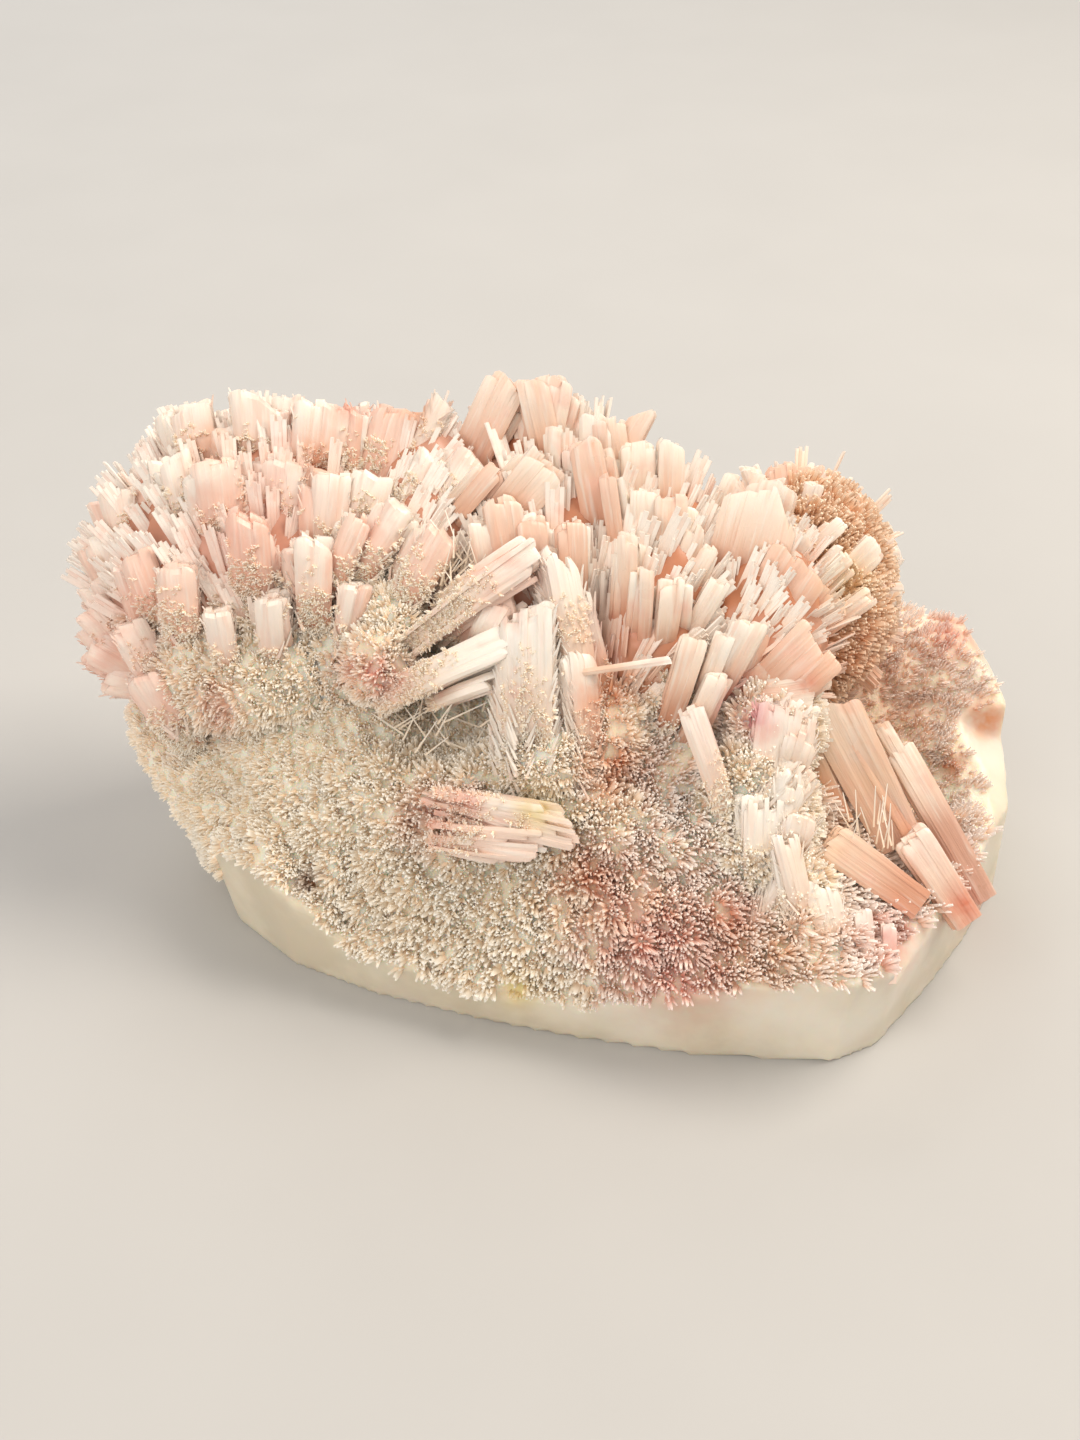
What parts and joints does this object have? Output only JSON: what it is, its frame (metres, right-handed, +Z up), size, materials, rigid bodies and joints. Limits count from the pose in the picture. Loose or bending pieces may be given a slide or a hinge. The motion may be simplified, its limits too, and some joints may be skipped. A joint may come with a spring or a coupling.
{
  "type": "mordenite on stilbite mineral specimen",
  "caption": "Cream zeolite stone with a flat sawn base, a field of fine mordenite tufts, and standing sprays of pink tabular stilbite blades.",
  "frame": {"origin": "on the flat sawn face underneath, near its middle", "axes": "+Z up from the sawn face, +X along the specimen's length towards the hollow, -Y towards the display side"},
  "size_m": [0.1334, 0.0773, 0.0734],
  "materials": {
    "cream_zeolite": null,
    "pink_stilbite": "pearly translucent stilbite, pink to salmon; stands in for mineral crystal",
    "peach_stilbite": "pearly stilbite stained peach and rust; stands in for mineral crystal",
    "white_stilbite": "pearly white stilbite; stands in for mineral crystal"
  },
  "bodies": {
    "root": {"matrix_stone": "cream_zeolite", "crown_spray": "pink_stilbite", "left_lobe": "pink_stilbite", "plate_fan": "pink_stilbite", "rear_rosette": "peach_stilbite", "roof_crystals": "white_stilbite", "white_ridge": "white_stilbite", "smear_blade": "white_stilbite", "hollow_blade_wide": "peach_stilbite", "hollow_blade_long": "pink_stilbite", "hollow_blade_low": "pink_stilbite", "hollow_blade_rim": "peach_stilbite", "white_splinter": "white_stilbite", "front_prism_left": "white_stilbite", "front_prism_middle": "white_stilbite", "front_prism_right": "white_stilbite"}
  },
  "joints": []
}
